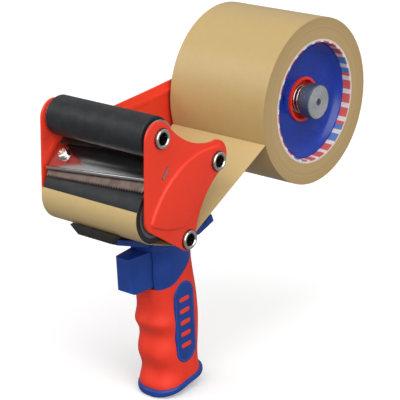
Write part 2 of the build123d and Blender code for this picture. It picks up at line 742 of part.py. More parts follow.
with BuildPart() as trigger_lever:
    # Nose: plan sections with a rounded front, then trimmed to its side profile
    for height, front_y in ((-16.0, NOSE_FRONT_TOP_Y), (-44.0, NOSE_FRONT_LOW_Y)):
        with BuildSketch(Plane.XY.offset(height)) as plan:
            with BuildLine():
                Polyline(
                    (-NOSE_FRONT_HALF, front_y),
                    (NOSE_FRONT_HALF, front_y),
                    (NOSE_ROOT_HALF, 4),
                    (NOSE_ROOT_HALF, 25),
                    (-NOSE_ROOT_HALF, 25),
                    (-NOSE_ROOT_HALF, 4),
                    close=True,
                )
            make_face()
            fillet(plan.vertices().sort_by(Axis.Y)[:2], radius=1.8)
    loft(ruled=True)
    with BuildSketch(side_plane(-NOSE_ROOT_HALF - 1)):
        with BuildLine():
            Polyline(
                (-10.0, -41.0),
                (-15.0, -38.0),
                (-15.0, -18.1),
                (4.5, -17.3),
                (16.0, -18.6),
                (19.0, -24.0),
                (19.0, -40.0),
                (6.0, -40.8),
                (-6.0, -41.6),
            )
            ThreePointArc((-6.0, -41.6), (-8.2, -41.6), (-10.0, -41.0))
        make_face()
    extrude(amount=2 * NOSE_ROOT_HALF + 2, mode=Mode.INTERSECT)
    # Neck from the nose up into the arm under the tape
    with BuildSketch(side_plane(-NECK_HALF)):
        Polygon(
            (ARM_REAR_Y - 0.4, -8.2),
            (NECK_REAR_Y, -8.2),
            (NECK_REAR_Y, -18.5),
            (NECK_FRONT_Y, -18.5),
            (NECK_FRONT_Y, -11.5),
            (ARM_REAR_Y - 0.4, -11.2),
            align=None,
        )
    extrude(amount=2 * NECK_HALF)
    # Arm running forward under the tape, with a tongue that carries the shoe
    with BuildSketch(side_plane(-ARM_HALF)):
        Polygon((ARM_REAR_Y, -7.6), (ARM_FRONT_Y, 1.9), (ARM_FRONT_Y, -1.4), (ARM_REAR_Y, -11.4), align=None)
    extrude(amount=2 * ARM_HALF)
    with BuildSketch(side_plane(-8.0)):
        Polygon((-30.5, 1.2), (-34.6, 3.0), (-34.6, 1.4), (-30.5, -0.4), align=None)
    extrude(amount=16.0)
    with BuildSketch(side_plane(-NOSE_ROOT_HALF)):
        with Locations(TRIGGER_PIVOT):
            Circle(TRIGGER_PIN_RADIUS + RUNNING_GAP)
    extrude(amount=2 * NOSE_ROOT_HALF, mode=Mode.SUBTRACT)
save(trigger_lever, "trigger_lever")

SHOE_BOTTOM_HALF = 12.8
SHOE_TOP_HALF = 18.4
SHOE_ARC_RADIUS = LOWER_ROLLER_RADIUS + TAPE_CLEARANCE + TAPE_THICKNESS + 0.4

with BuildPart() as tape_shoe:
    rear_y = ARM_FRONT_Y - 0.05
    arc_rear = (rear_y, LOWER_AXLE[1] - sqrt(SHOE_ARC_RADIUS**2 - (rear_y - LOWER_AXLE[0]) ** 2))
    arc_front = polar(LOWER_AXLE, SHOE_ARC_RADIUS, 231)
    with BuildSketch(side_plane(-SHOE_TOP_HALF)):
        with BuildLine():
            ThreePointArc(arc_rear, polar(LOWER_AXLE, SHOE_ARC_RADIUS, 238), arc_front)
            Polyline(arc_front, (-37.5, 6.3), (-36.4, 1.0), (rear_y, -1.4), arc_rear)
        make_face()
    extrude(amount=2 * SHOE_TOP_HALF)
    with BuildSketch(Plane.XZ.offset(20)):
        Polygon(
            (-SHOE_BOTTOM_HALF, -8.0),
            (SHOE_BOTTOM_HALF, -8.0),
            (SHOE_BOTTOM_HALF, 0.8),
            (SHOE_TOP_HALF, 6.4),
            (SHOE_TOP_HALF, 12.0),
            (-SHOE_TOP_HALF, 12.0),
            (-SHOE_TOP_HALF, 6.4),
            (-SHOE_BOTTOM_HALF, 0.8),
            align=None,
        )
    extrude(amount=20, mode=Mode.INTERSECT)
    with BuildSketch(side_plane(-8.0)):
        Polygon((-30.5, 1.2), (-34.6, 3.0), (-34.6, 1.4), (-30.5, -0.4), align=None)
    extrude(amount=16.0, mode=Mode.SUBTRACT)
save(tape_shoe, "tape_shoe")

with BuildPart() as trigger_pin:
    with BuildSketch(side_plane(TRIGGER_PIN_LOW_X)):
        with Locations(TRIGGER_PIVOT):
            Circle(TRIGGER_PIN_RADIUS)
    extrude(amount=TRIGGER_PIN_HIGH_X - TRIGGER_PIN_LOW_X)
save(trigger_pin, "trigger_pin")

SPRING_WIRE = 0.5

with BuildPart() as trigger_spring:
    spring_foot = (0, 19.7, -34.0)
    with BuildLine() as coil:
        Helix(pitch=2.2, height=8.7, radius=3.0, center=spring_foot, direction=(0, 1, 0))
    with BuildSketch(Plane(origin=coil.line @ 0, z_dir=coil.line % 0)):
        Circle(SPRING_WIRE)
    sweep(is_frenet=True)
save(trigger_spring, "trigger_spring")

# ---------------------------------------------------------------- hub axle and brake
AXLE_END_X = 36.2

with BuildPart() as hub_axle:
    with BuildSketch(side_plane(-48.0)):
        with Locations(ROLL_CENTRE):
            Circle(HUB_AXLE_RADIUS)
    extrude(amount=48.0 + AXLE_END_X)
    chamfer(hub_axle.edges().filter_by(GeomType.CIRCLE), length=0.6)
save(hub_axle, "hub_axle")

with BuildPart() as axle_nut:
    with BuildSketch(side_plane(-OUTER_X)):
        with Locations(ROLL_CENTRE):
            RegularPolygon(7.4, 6)
            Circle(HUB_AXLE_RADIUS, mode=Mode.SUBTRACT)
    extrude(amount=-5.0)
save(axle_nut, "axle_nut")
save(turned(ROLL_CENTRE, (HUB_AXLE_RADIUS, 9.0, -INNER_X, -38.0)), "axle_spacer")

HUB_RIM_X = 32.0
HUB_REAR_X = -37.2
DISC_X = 27.0
CUP_FLOOR_X = 21.5
CUP_RADIUS = 14.4

with BuildPart() as hub:
    with BuildSketch(turning_plane(ROLL_CENTRE)):
        with BuildLine():
            hub_bore = HUB_AXLE_RADIUS + RUNNING_GAP
            Polyline(
                (HUB_REAR_X, hub_bore),
                (CUP_FLOOR_X, hub_bore),
                (CUP_FLOOR_X, CUP_RADIUS),
                (DISC_X, CUP_RADIUS),
                (DISC_X + 0.5, 30.0),
                (DISC_X + 1.5, 33.0),
                (HUB_RIM_X - 0.8, 35.8),
                (HUB_RIM_X, 36.8),
                (HUB_RIM_X, CORE_BORE_RADIUS),
                (HUB_REAR_X, CORE_BORE_RADIUS),
                (HUB_REAR_X, 35.6),
                (DISC_X - 2.0, 35.6),
                (DISC_X - 2.5, 30.0),
                (DISC_X - 3.0, CUP_RADIUS + 2.0),
                (CUP_FLOOR_X - 2.0, CUP_RADIUS + 2.0),
                (CUP_FLOOR_X - 2.0, 9.0),
                (HUB_REAR_X, 9.0),
                close=True,
            )
        make_face()
    revolve(axis=spin_axis(ROLL_CENTRE))
    # Four ribs tie the boss to the sleeve behind the dish
    with BuildSketch(side_plane(HUB_REAR_X)):
        with Locations(ROLL_CENTRE):
            with PolarLocations(22.5, 4, start_angle=45):
                Rectangle(28.0, 2.4)
    extrude(amount=CUP_FLOOR_X - 1.0 - HUB_REAR_X)
    # Two small windows in the dish beside the cup
    with BuildSketch(side_plane(DISC_X - 6)):
        with Locations(ROLL_CENTRE):
            with PolarLocations(20.0, 2, start_angle=170):
                Rectangle(1.8, 6.0)
    extrude(amount=12, mode=Mode.SUBTRACT)
save(hub, "hub")

cup_mouth_x = DISC_X + 1.6
cup_wall = (CUP_RADIUS - 1.6, CUP_RADIUS, CUP_FLOOR_X, cup_mouth_x)
cup_floor = (hub_bore, CUP_RADIUS - 1.0, CUP_FLOOR_X, CUP_FLOOR_X + 1.2)
save(turned(ROLL_CENTRE, cup_wall, cup_floor), "hub_cup")

save(turned(ROLL_CENTRE, (hub_bore, 9.6, 30.6, 31.8)), "pressure_washer")

KNOB_INNER_X = 31.8
KNOB_OUTER_X = 40.0
KNOB_RADIUS = 11.2
KNOB_FACE = 2.4

with BuildPart() as brake_knob:
    with BuildSketch(turning_plane(ROLL_CENTRE)):
        with BuildLine():
            Polyline(
                (KNOB_INNER_X, hub_bore),
                (KNOB_OUTER_X - KNOB_FACE, hub_bore),
                (KNOB_OUTER_X - KNOB_FACE, 0),
                (KNOB_OUTER_X - 1.3, 0),
                (KNOB_OUTER_X, 2.4),
                (KNOB_OUTER_X, KNOB_RADIUS - 0.6),
                (KNOB_OUTER_X - 0.6, KNOB_RADIUS),
                (KNOB_INNER_X + 0.6, KNOB_RADIUS),
                (KNOB_INNER_X, KNOB_RADIUS - 0.6),
                close=True,
            )
        make_face()
    revolve(axis=spin_axis(ROLL_CENTRE))
save(brake_knob, "brake_knob")

with BuildPart() as brake_spring:
    spring_foot = (CUP_FLOOR_X + 1.9, ROLL_CENTRE[0], ROLL_CENTRE[1])
    with BuildLine() as coil:
        Helix(pitch=2.6, height=6.6, radius=8.6, center=spring_foot, direction=(1, 0, 0))
    with BuildSketch(Plane(origin=coil.line @ 0, z_dir=coil.line % 0)):
        Circle(0.6)
    sweep(is_frenet=True)
save(brake_spring, "brake_spring")

# ---------------------------------------------------------------- tape
CORE_RADIUS = CORE_BORE_RADIUS + CORE_WALL
save(turned(ROLL_CENTRE, (CORE_BORE_RADIUS, CORE_RADIUS, -HALF_TAPE, HALF_TAPE)), "cardboard_core")
save(turned(ROLL_CENTRE, (CORE_RADIUS, ROLL_RADIUS, -HALF_TAPE, HALF_TAPE)), "tape_roll")

# The free tape peels off the roll, passes under the bottom tube and wraps the lower roller
PEEL_ANGLE = 198.0
CUT_ANGLE = 161.5
tube_wrap = TUBE_RADIUS + 0.05
roller_wrap = LOWER_ROLLER_RADIUS + TAPE_CLEARANCE


# Angles from +Y of the points where the straight runs touch the tube and the roller
peel = polar(ROLL_CENTRE, ROLL_RADIUS + TAPE_CLEARANCE, PEEL_ANGLE)
peel_run = dist(BOTTOM_TIE, peel)
rear_normal = degrees(atan2(peel[1], peel[0]) - acos(tube_wrap / peel_run))
axle_run = dist(BOTTOM_TIE, LOWER_AXLE)
front_turn = acos((tube_wrap - roller_wrap) / axle_run)
front_normal = degrees(atan2(LOWER_AXLE[1], LOWER_AXLE[0]) + front_turn)

with BuildPart() as tape_web:
    with BuildSketch(side_plane(-HALF_TAPE)):
        with BuildLine() as route:
            tube_rear = polar(BOTTOM_TIE, tube_wrap, rear_normal)
            tube_front = polar(BOTTOM_TIE, tube_wrap, front_normal)
            roller_low = polar(LOWER_AXLE, roller_wrap, front_normal)
            cut = polar(LOWER_AXLE, roller_wrap, CUT_ANGLE)
            Line(peel, tube_rear)
            ThreePointArc(tube_rear, polar(BOTTOM_TIE, tube_wrap, 275), tube_front)
            Line(tube_front, roller_low)
            ThreePointArc(roller_low, polar(LOWER_AXLE, roller_wrap, 205), cut)
            offset(amount=TAPE_THICKNESS, side=Side.LEFT)
        make_face()
    extrude(amount=TAPE_WIDTH)
save(tape_web, "tape_web")
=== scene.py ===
"""Looks of a hand-held packing tape dispenser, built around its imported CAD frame."""
import json
from math import cos, pi, radians, sin

import bmesh
import bpy
from mathutils import Matrix, Vector


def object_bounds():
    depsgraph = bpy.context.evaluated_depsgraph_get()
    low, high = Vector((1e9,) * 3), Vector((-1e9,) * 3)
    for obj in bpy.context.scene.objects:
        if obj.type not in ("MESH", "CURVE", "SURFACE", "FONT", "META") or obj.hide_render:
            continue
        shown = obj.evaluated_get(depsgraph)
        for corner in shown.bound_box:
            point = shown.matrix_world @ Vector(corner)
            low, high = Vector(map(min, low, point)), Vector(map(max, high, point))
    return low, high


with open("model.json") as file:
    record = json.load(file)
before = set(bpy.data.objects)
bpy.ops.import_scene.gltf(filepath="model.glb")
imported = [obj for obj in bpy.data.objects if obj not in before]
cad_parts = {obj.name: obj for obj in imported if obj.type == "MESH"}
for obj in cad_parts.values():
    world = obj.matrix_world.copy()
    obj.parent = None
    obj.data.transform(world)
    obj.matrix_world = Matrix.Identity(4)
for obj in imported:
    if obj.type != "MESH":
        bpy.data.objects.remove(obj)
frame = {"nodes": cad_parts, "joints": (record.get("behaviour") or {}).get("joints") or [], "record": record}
cad_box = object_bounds()
nodes = frame["nodes"]
MM = 0.001

# ---------------------------------------------------------------- places, from the frame
joint_at = {joint["name"]: Vector(joint["pos_m"]) for joint in frame["joints"] if "pos_m" in joint}
ROLL = joint_at["roll_spin"]


# ---------------------------------------------------------------- material kit
class Paint:
    """A node material with short calls for the few node kinds used here."""

    def __init__(self, name, colour, **inputs):
        self.material = bpy.data.materials.new(name)
        self.material.use_nodes = True
        self.tree = self.material.node_tree
        self.shader = self.tree.nodes["Principled BSDF"]
        self.shader.inputs["Base Color"].default_value = (*colour, 1)
        for socket, value in inputs.items():
            self.shader.inputs[socket.replace("_", " ")].default_value = value
        self.place = self.add("ShaderNodeTexCoord").outputs["Object"]

    def add(self, kind, **settings):
        node = self.tree.nodes.new(kind)
        for key, value in settings.items():
            setattr(node, key, value)
        return node

    def link(self, source, target):
        if isinstance(source, (int, float)):
            target.default_value = source
        elif isinstance(source, tuple):
            target.default_value = (*source, 1)
        else:
            self.tree.links.new(source, target)

    def math(self, operation, first, second=0.0):
        node = self.add("ShaderNodeMath", operation=operation)
        for value, target in zip((first, second), node.inputs):
            self.link(value, target)
        return node.outputs[0]

    def length(self, first, second):
        """Length of the vector with those two components."""
        squares = self.math(
            "ADD", self.math("MULTIPLY", first, first), self.math("MULTIPLY", second, second)
        )
        return self.math("SQRT", squares)

    def stretched(self, scale):
        """The object's own coordinates, scaled along each axis."""
        node = self.add("ShaderNodeMapping", vector_type="POINT")
        node.inputs["Scale"].default_value = scale
        self.link(self.place, node.inputs["Vector"])
        return node.outputs["Vector"]

    def noise(self, scale, detail=3.0, rough=0.5, stretch=(1, 1, 1)):
        """Noise from 0 to 1; scale is in cells per metre."""
        node = self.add("ShaderNodeTexNoise")
        self.link(self.stretched(stretch), node.inputs["Vector"])
        node.inputs["Scale"].default_value = scale
        node.inputs["Detail"].default_value = detail
        node.inputs["Roughness"].default_value = rough
        return node.outputs["Fac"]

    def spread(self, value, low, high, to_low=0.0, to_high=1.0):
        node = self.add("ShaderNodeMapRange", clamp=True)
        self.link(value, node.inputs["Value"])
        node.inputs["From Min"].default_value = low
        node.inputs["From Max"].default_value = high
        node.inputs["To Min"].default_value = to_low
        node.inputs["To Max"].default_value = to_high
        return node.outputs["Result"]

    def mix(self, factor, first, second):
        node = self.add("ShaderNodeMix", data_type="RGBA", blend_type="MIX")
        self.link(factor, node.inputs[0])
        self.link(first, node.inputs[6])
        self.link(second, node.inputs[7])
        return node.outputs[2]

    def axis(self, name):
        split = self.add("ShaderNodeSeparateXYZ")
        self.link(self.place, split.inputs[0])
        return split.outputs[name]

    def from_centre(self, across, up):
        """(Y, Z) counted from a side-view point."""
        return (
            self.math("SUBTRACT", self.axis("Y"), across),
            self.math("SUBTRACT", self.axis("Z"), up),
        )

    def radius(self, centre):
        """Distance in metres from the line along X through centre."""
        return self.length(*self.from_centre(centre[1], centre[2]))

    def angle(self, centre):
        """Angle in radians about the line along X through centre."""
        across, up = self.from_centre(centre[1], centre[2])
        return self.math("ARCTAN2", up, across)

    def colour(self, value):
        self.link(value, self.shader.inputs["Base Color"])

    def rough(self, value, low, high):
        self.link(self.spread(value, 0.3, 0.7, low, high), self.shader.inputs["Roughness"])

    def bump(self, height, depth, strength=1.0, after=None):
        """Relief of that depth in metres."""
        node = self.add("ShaderNodeBump")
        node.inputs["Strength"].default_value = strength
        node.inputs["Distance"].default_value = depth
        self.link(height, node.inputs["Height"])
        if after:
            self.link(after, node.inputs["Normal"])
        self.link(node.outputs["Normal"], self.shader.inputs["Normal"])
        return node.outputs["Normal"]


# ---------------------------------------------------------------- materials
RED = (0.84, 0.046, 0.021)
BLUE = (0.012, 0.056, 0.30)
HUB_BLUE = (0.006, 0.036, 0.34)
FILM = (0.50, 0.355, 0.150)
BARE_STEEL = (0.60, 0.60, 0.60)
BLADE_ANGLE = radians(48)
CLAMP_MIDDLE = 0.0110  # up the blade's slope from the frame's origin
CLAMP_BOW = 15.0  # per metre
TOOL_MARK = 0.00042  # spacing of the knob face's turning marks, in metres
TOOL_CHATTER = 0.0017
KNURL_CUTS = 54
KNURL_PITCH = 4800.0  # radians per metre along the axis
PRINTED_RADIUS = 0.0388  # the core is printed inside this radius
PRINT_BLOCKS = 26  # round the bore
PRINT_GROUPS = 5.0
PRINT_ROW = 0.015
INLAY_CENTRE = (0.0264, -0.0680)  # as (y, z)
INLAY_LEAN = radians(93.4 - 90)
INLAY_STRAIGHT = 0.0185
INLAY_RIM_RADIUS = 0.0078
INLAY_BAR_STEP = 0.0078
INLAY_BAR_HALF = 0.0030
INLAY_BARS_REACH = 2.5 * INLAY_BAR_STEP


def red_enamel():
    """Powder coat on pressed sheet, with orange peel and faint cloudiness."""
    paint = Paint("red_enamel", RED, Roughness=0.4, Specular_IOR_Level=0.32)
    cloud = paint.noise(55, 4)
    paint.colour(paint.mix(paint.spread(cloud, 0.35, 0.7), RED, (0.80, 0.044, 0.018)))
    paint.rough(paint.noise(180, 3), 0.34, 0.46)
    peel = paint.bump(paint.noise(620, 2), 0.00005, 0.55)
    paint.bump(paint.noise(90, 2), 0.00022, 0.35, after=peel)
    return paint.material


def moulded(name, colour, deep, rough, grain=0.6, gloss=0.3):
    """Injection-moulded plastic with a fine spark-eroded grain and faint flow clouds."""
    paint = Paint(name, colour, Roughness=rough, Specular_IOR_Level=gloss)
    paint.colour(paint.mix(paint.spread(paint.noise(70, 4, 0.55), 0.35, 0.7), colour, deep))
    paint.rough(paint.noise(260, 4), rough - 0.05, rough + 0.07)
    sink = paint.bump(paint.noise(60, 2), 0.0003, 0.25)
    paint.bump(paint.noise(2600, 2, 0.6), 0.00003, grain, after=sink)
    return paint.material


def rubber(name, colour, rough, turned=False):
    """Filled rubber, ground along its turning marks where it is a roller."""
    paint = Paint(name, colour, Roughness=rough, Specular_IOR_Level=0.28)
    dust = paint.spread(paint.noise(120, 5, 0.6), 0.45, 0.8)
    pale = tuple(value * 1.9 + 0.008 for value in colour)
    paint.colour(paint.mix(paint.math("MULTIPLY", dust, 0.5), colour, pale))
    paint.rough(paint.noise(400, 3), rough - 0.06, rough + 0.08)
    grain = paint.bump(paint.noise(1900, 3, 0.6), 0.00006, 0.5)
    if turned:
        paint.bump(paint.noise(900, 2, 0.5, (1.0, 0.03, 0.03)), 0.00004, 0.4, after=grain)
    return paint.material


def metal(name, colour, rough, stain=0.25, grain=(1, 1, 1), relief=0.00002):
    """Plated or bare metal with a rolled grain and faint stains."""
    paint = Paint(name, colour, Roughness=rough, Metallic=1.0)
    dull = tuple(value * (1 - stain) for value in colour)
    paint.colour(paint.mix(paint.spread(paint.noise(160, 5, 0.6), 0.4, 0.75), colour, dull))
    paint.rough(paint.noise(500, 4, 0.6, grain), max(0.03, rough - 0.07), rough + 0.12)
    paint.bump(paint.noise(1500, 3, 0.6, grain), relief, 0.6)
    return paint.material


def blade_steel():
    """Ground carbon steel with its grain up the blade and blotchy stains; its brown tint is a painted
    reflection.
    """
    paint = Paint("blade_steel", (0.23, 0.19, 0.17), Roughness=0.42, Metallic=0.85)
    stain = paint.spread(paint.noise(140, 6, 0.65), 0.38, 0.66)
    # Both brown tones are a painted reflection; the random blotches between them are stains.
    base = paint.mix(stain, (0.19, 0.140, 0.118), (0.11, 0.080, 0.068))
    streak = paint.spread(paint.noise(420, 4, 0.6, (1.0, 0.15, 0.15)), 0.45, 0.7)
    paint.colour(paint.mix(paint.math("MULTIPLY", streak, 0.10), base, (0.28, 0.23, 0.21)))
    paint.rough(paint.noise(700, 4, 0.6, (1.0, 0.1, 0.1)), 0.34, 0.55)
    paint.bump(paint.noise(1300, 3, 0.6, (1.0, 0.08, 0.08)), 0.00004, 0.7)
    return paint.material


def chrome():
    """Polished strip, bowed a little from its lip to its top, so it mirrors the roller above it."""
    paint = Paint("chrome", (0.56, 0.55, 0.555), Roughness=0.12, Metallic=1.0)
    paint.rough(paint.noise(260, 5, 0.6, (0.15, 1.0, 1.0)), 0.09, 0.20)
    up_y = paint.math("MULTIPLY", paint.axis("Y"), cos(BLADE_ANGLE))
    up_z = paint.math("MULTIPLY", paint.axis("Z"), sin(BLADE_ANGLE))
    up = paint.math("SUBTRACT", paint.math("ADD", up_y, up_z), CLAMP_MIDDLE)
    bow = paint.math("MULTIPLY", paint.math("MULTIPLY", up, up), -CLAMP_BOW)
    bowed = paint.bump(bow, 1.0)
    paint.bump(paint.noise(45, 2), 0.0003, 0.16, after=bowed)
    return paint.material


def knob_face():
    """Turned zinc: fine concentric tool marks."""
    paint = Paint("knob_face", (0.52, 0.57, 0.61), Roughness=0.3, Metallic=1.0, Anisotropic=0.5)
    radius = paint.radius(ROLL)
    rings = paint.math("SINE", paint.math("MULTIPLY", radius, 2 * pi / TOOL_MARK))
    rings_wide = paint.math("SINE", paint.math("MULTIPLY", radius, 2 * pi / TOOL_CHATTER))
    both = paint.math("ADD", rings, paint.math("MULTIPLY", rings_wide, 0.6))
    blotch = paint.spread(paint.noise(300, 4, 0.6), 0.35, 0.7)
    paint.colour(paint.mix(blotch, (0.92, 0.94, 0.96), (0.76, 0.80, 0.84)))
    paint.rough(paint.noise(500, 4), 0.26, 0.40)
    paint.bump(both, 0.00003, 1.0)
    return paint.material


def knurled():
    """Rim cut with crossing grooves, under a blue-grey passivation; painted shade darkens the grooves."""
    paint = Paint("knurled", (0.16, 0.19, 0.28), Roughness=0.4, Metallic=0.8)
    round_rim = paint.math("MULTIPLY", paint.angle(ROLL), KNURL_CUTS)
    along = paint.math("MULTIPLY", paint.axis("X"), KNURL_PITCH)
    one = paint.math("SINE", paint.math("ADD", round_rim, along))
    other = paint.math("SINE", paint.math("SUBTRACT", round_rim, along))
    points = paint.math("ADD", one, other)
    # Colour follows the knurl's height: painted shade down in the grooves, paler on the points.
    paint.colour(paint.mix(paint.spread(points, -1.5, 1.5), (0.06, 0.08, 0.13), (0.20, 0.24, 0.34)))
    paint.rough(paint.noise(500, 4), 0.34, 0.48)
    paint.bump(points, 0.00012, 0.8)
    return paint.material


def tape_film(name, light, deep, stretch=(1, 0.05, 0.05)):
    """Brown packing film wound on itself: faint lines round the roll, small trapped-air mottle."""
    paint = Paint(name, light, Roughness=0.36, Specular_IOR_Level=0.45)
    lines = paint.spread(paint.noise(420, 3, 0.6, stretch), 0.38, 0.66)
    mottle = paint.spread(paint.noise(240, 5, 0.65), 0.42, 0.72)
    base = paint.mix(paint.math("MULTIPLY", lines, 0.10), light, deep)
    paint.colour(paint.mix(paint.math("MULTIPLY", mottle, 0.16), base, deep))
    paint.rough(paint.noise(300, 4), 0.30, 0.40)
    wave = paint.bump(paint.noise(30, 2, 0.5, (0.5, 1, 1)), 0.0006, 0.08)
    paint.bump(paint.noise(700, 3, 0.6, stretch), 0.00002, 0.2, after=wave)
    return paint.material


def roll_side():
    """Edges of the wound turns: fine rings, some darker where the tape was wound tighter."""
    paint = Paint("roll_side", (0.47, 0.33, 0.155), Roughness=0.55, Specular_IOR_Level=0.3)
    radius = paint.radius(ROLL)
    ring = paint.add("ShaderNodeTexNoise", noise_dimensions="1D")
    ring.inputs["Scale"].default_value = 900
    ring.inputs["Detail"].default_value = 5
    paint.link(radius, ring.inputs["W"])
    broad = paint.add("ShaderNodeTexNoise", noise_dimensions="1D")
    broad.inputs["Scale"].default_value = 130
    broad.inputs["Detail"].default_value = 2
    paint.link(radius, broad.inputs["W"])
    fine = paint.spread(ring.outputs["Fac"], 0.35, 0.65)
    wide = paint.spread(broad.outputs["Fac"], 0.35, 0.65)
    base = paint.mix(wide, (0.50, 0.350, 0.165), (0.445, 0.305, 0.140))
    paint.colour(paint.mix(paint.math("MULTIPLY", fine, 0.35), base, (0.37, 0.250, 0.115)))
    soft = paint.bump(ring.outputs["Fac"], 0.00008, 0.5)
    paint.bump(paint.noise(500, 4), 0.00005, 0.3, after=soft)
    return paint.material


def printed_core():
    """Spiral-wound board; its bore carries plain coloured blocks round the mouth."""
    board = (0.74, 0.66, 0.60)
    paint = Paint("printed_core", board, Roughness=0.62)
    turn = paint.math("DIVIDE", paint.math("ADD", paint.angle(ROLL), pi), 2 * pi)
    block = paint.math("FRACT", paint.math("MULTIPLY", turn, PRINT_BLOCKS))
    inked = paint.math("LESS_THAN", block, 0.66)
    row = paint.math("FRACT", paint.math("MULTIPLY", paint.axis("X"), 1 / PRINT_ROW))
    inked = paint.math("MULTIPLY", inked, paint.math("LESS_THAN", row, 0.66))
    group = paint.math("FRACT", paint.math("MULTIPLY", turn, PRINT_GROUPS))
    blue_zone = paint.math("GREATER_THAN", group, 0.74)
    ink = paint.mix(blue_zone, (0.66, 0.05, 0.045), (0.03, 0.16, 0.50))
    bore = paint.math("LESS_THAN", paint.radius(ROLL), PRINTED_RADIUS)
    fibre = paint.spread(paint.noise(500, 5, 0.6), 0.35, 0.7)
    ground = paint.mix(bore, board, (0.80, 0.72, 0.70))
    ground = paint.mix(paint.math("MULTIPLY", fibre, 0.3), ground, (0.60, 0.50, 0.43))
    shown = paint.math("MULTIPLY", paint.math("MULTIPLY", inked, bore), 0.9)
    paint.colour(paint.mix(shown, ground, ink))
    paint.bump(paint.noise(700, 4), 0.00008, 0.4)
    return paint.material


def marked_inlay():
    """Blue panel of the grip with a raised rim line, painted paler blue as a highlight, and a plain column
    of red bars.
    """
    paint = Paint("marked_inlay", BLUE, Roughness=0.4, Specular_IOR_Level=0.3)
    from_y, from_z = paint.from_centre(*INLAY_CENTRE)
    along = paint.math(
        "SUBTRACT",
        paint.math("MULTIPLY", from_z, cos(INLAY_LEAN)),
        paint.math("MULTIPLY", from_y, sin(INLAY_LEAN)),
    )
    across = paint.math(
        "ADD",
        paint.math("MULTIPLY", from_y, cos(INLAY_LEAN)),
        paint.math("MULTIPLY", from_z, sin(INLAY_LEAN)),
    )
    along_size = paint.math("ABSOLUTE", along)
    # Rounded bars: distance to the middle line of the bar in this repeat
    step = paint.math("DIVIDE", along, INLAY_BAR_STEP)
    part_step = paint.math("SUBTRACT", step, paint.math("ROUND", step))
    off = paint.math("MULTIPLY", part_step, INLAY_BAR_STEP)
    beyond = paint.math("SUBTRACT", paint.math("ABSOLUTE", across), INLAY_BAR_HALF)
    from_bar = paint.length(off, paint.math("MAXIMUM", beyond, 0.0))
    bars = paint.spread(from_bar, 0.0013, 0.0017, 1.0, 0.0)
    inside = paint.math("LESS_THAN", along_size, INLAY_BARS_REACH)
    bars = paint.math("MULTIPLY", bars, inside)
    # Slot-shaped rim line a little inside the panel's edge
    past = paint.math("MAXIMUM", paint.math("SUBTRACT", along_size, INLAY_STRAIGHT), 0.0)
    from_rim = paint.math("SUBTRACT", paint.length(across, past), INLAY_RIM_RADIUS)
    rim = paint.spread(paint.math("ABSOLUTE", from_rim), 0.0002, 0.0006, 1.0, 0.0)
    cloud = paint.spread(paint.noise(70, 4, 0.55), 0.35, 0.7)
    blue = paint.mix(cloud, BLUE, (0.010, 0.038, 0.21))
    # The raised rim line is painted a paler blue: a painted highlight along the ridge.
    blue = paint.mix(paint.math("MULTIPLY", rim, 0.5), blue, (0.05, 0.12, 0.42))
    paint.colour(paint.mix(bars, blue, RED))
    paint.rough(paint.noise(260, 4), 0.36, 0.48)
    raised = paint.bump(paint.math("ADD", bars, rim), 0.0003, 1.0)
    paint.bump(paint.noise(2600, 2, 0.6), 0.00003, 0.5, after=raised)
    return paint.material


RED_PLASTIC = moulded("red_plastic", RED, (0.76, 0.036, 0.016), 0.46, 0.7)
BLUE_PLASTIC = moulded("blue_plastic", BLUE, (0.010, 0.040, 0.22), 0.34, 0.55, 0.35)
HUB_PLASTIC = moulded("hub_plastic", HUB_BLUE, (0.008, 0.030, 0.26), 0.22, 0.05, 0.5)
BLACK_RUBBER = rubber("black_rubber", (0.017, 0.018, 0.021), 0.46, turned=True)
SHOE_RUBBER = rubber("shoe_rubber", (0.026, 0.026, 0.024), 0.62)
ROLL_SIDE = roll_side()
INLAY = marked_inlay()
NICKEL = metal("nickel", (0.80, 0.775, 0.73), 0.16, 0.18)
ZINC = metal("zinc", BARE_STEEL, 0.34, 0.22)
DARK_STEEL = metal("dark_steel", (0.15, 0.14, 0.13), 0.42, 0.35)
GREY_PLASTIC = moulded("grey_plastic", (0.17, 0.17, 0.175), (0.12, 0.12, 0.125), 0.5)
PALE_PLASTIC = moulded("pale_plastic", (0.62, 0.62, 0.60), (0.50, 0.50, 0.48), 0.45)
KNOB_RIM = knurled()

by_slot = {
    "red_paint": red_enamel(),
    "nickel": NICKEL,
    "dark_steel": DARK_STEEL,
    "zinc_steel": ZINC,
    "black_rubber": BLACK_RUBBER,
    "grey_plastic": GREY_PLASTIC,
    "white_plastic": PALE_PLASTIC,
    "blade_steel": blade_steel(),
    "chrome": chrome(),
    "blue_plastic": BLUE_PLASTIC,
    "red_plastic": RED_PLASTIC,
    "shoe_rubber": SHOE_RUBBER,
    "hub_plastic": HUB_PLASTIC,
    "knob_zinc": knob_face(),
    "cardboard": printed_core(),
    "brown_tape": tape_film("tape_film", FILM, (0.43, 0.285, 0.105)),
}
slot_of = {part["node"]: part["material_slot"] for part in frame["record"]["subparts"]}


# ---------------------------------------------------------------- CAD nodes: smoothing and paint
SHARP = radians(28)
SOFT_EDGES = {  # bevel width in mm on the edges that moulding, pressing or plating rounds
    "left_side_plate": 0.35,
    "right_side_plate": 0.35,
    "trigger_lever": 0.8,
    "handle_head": 0.6,
    "tape_shoe": 0.5,
    "end_cap": 0.3,
    "blade_clamp": 0.12,
}


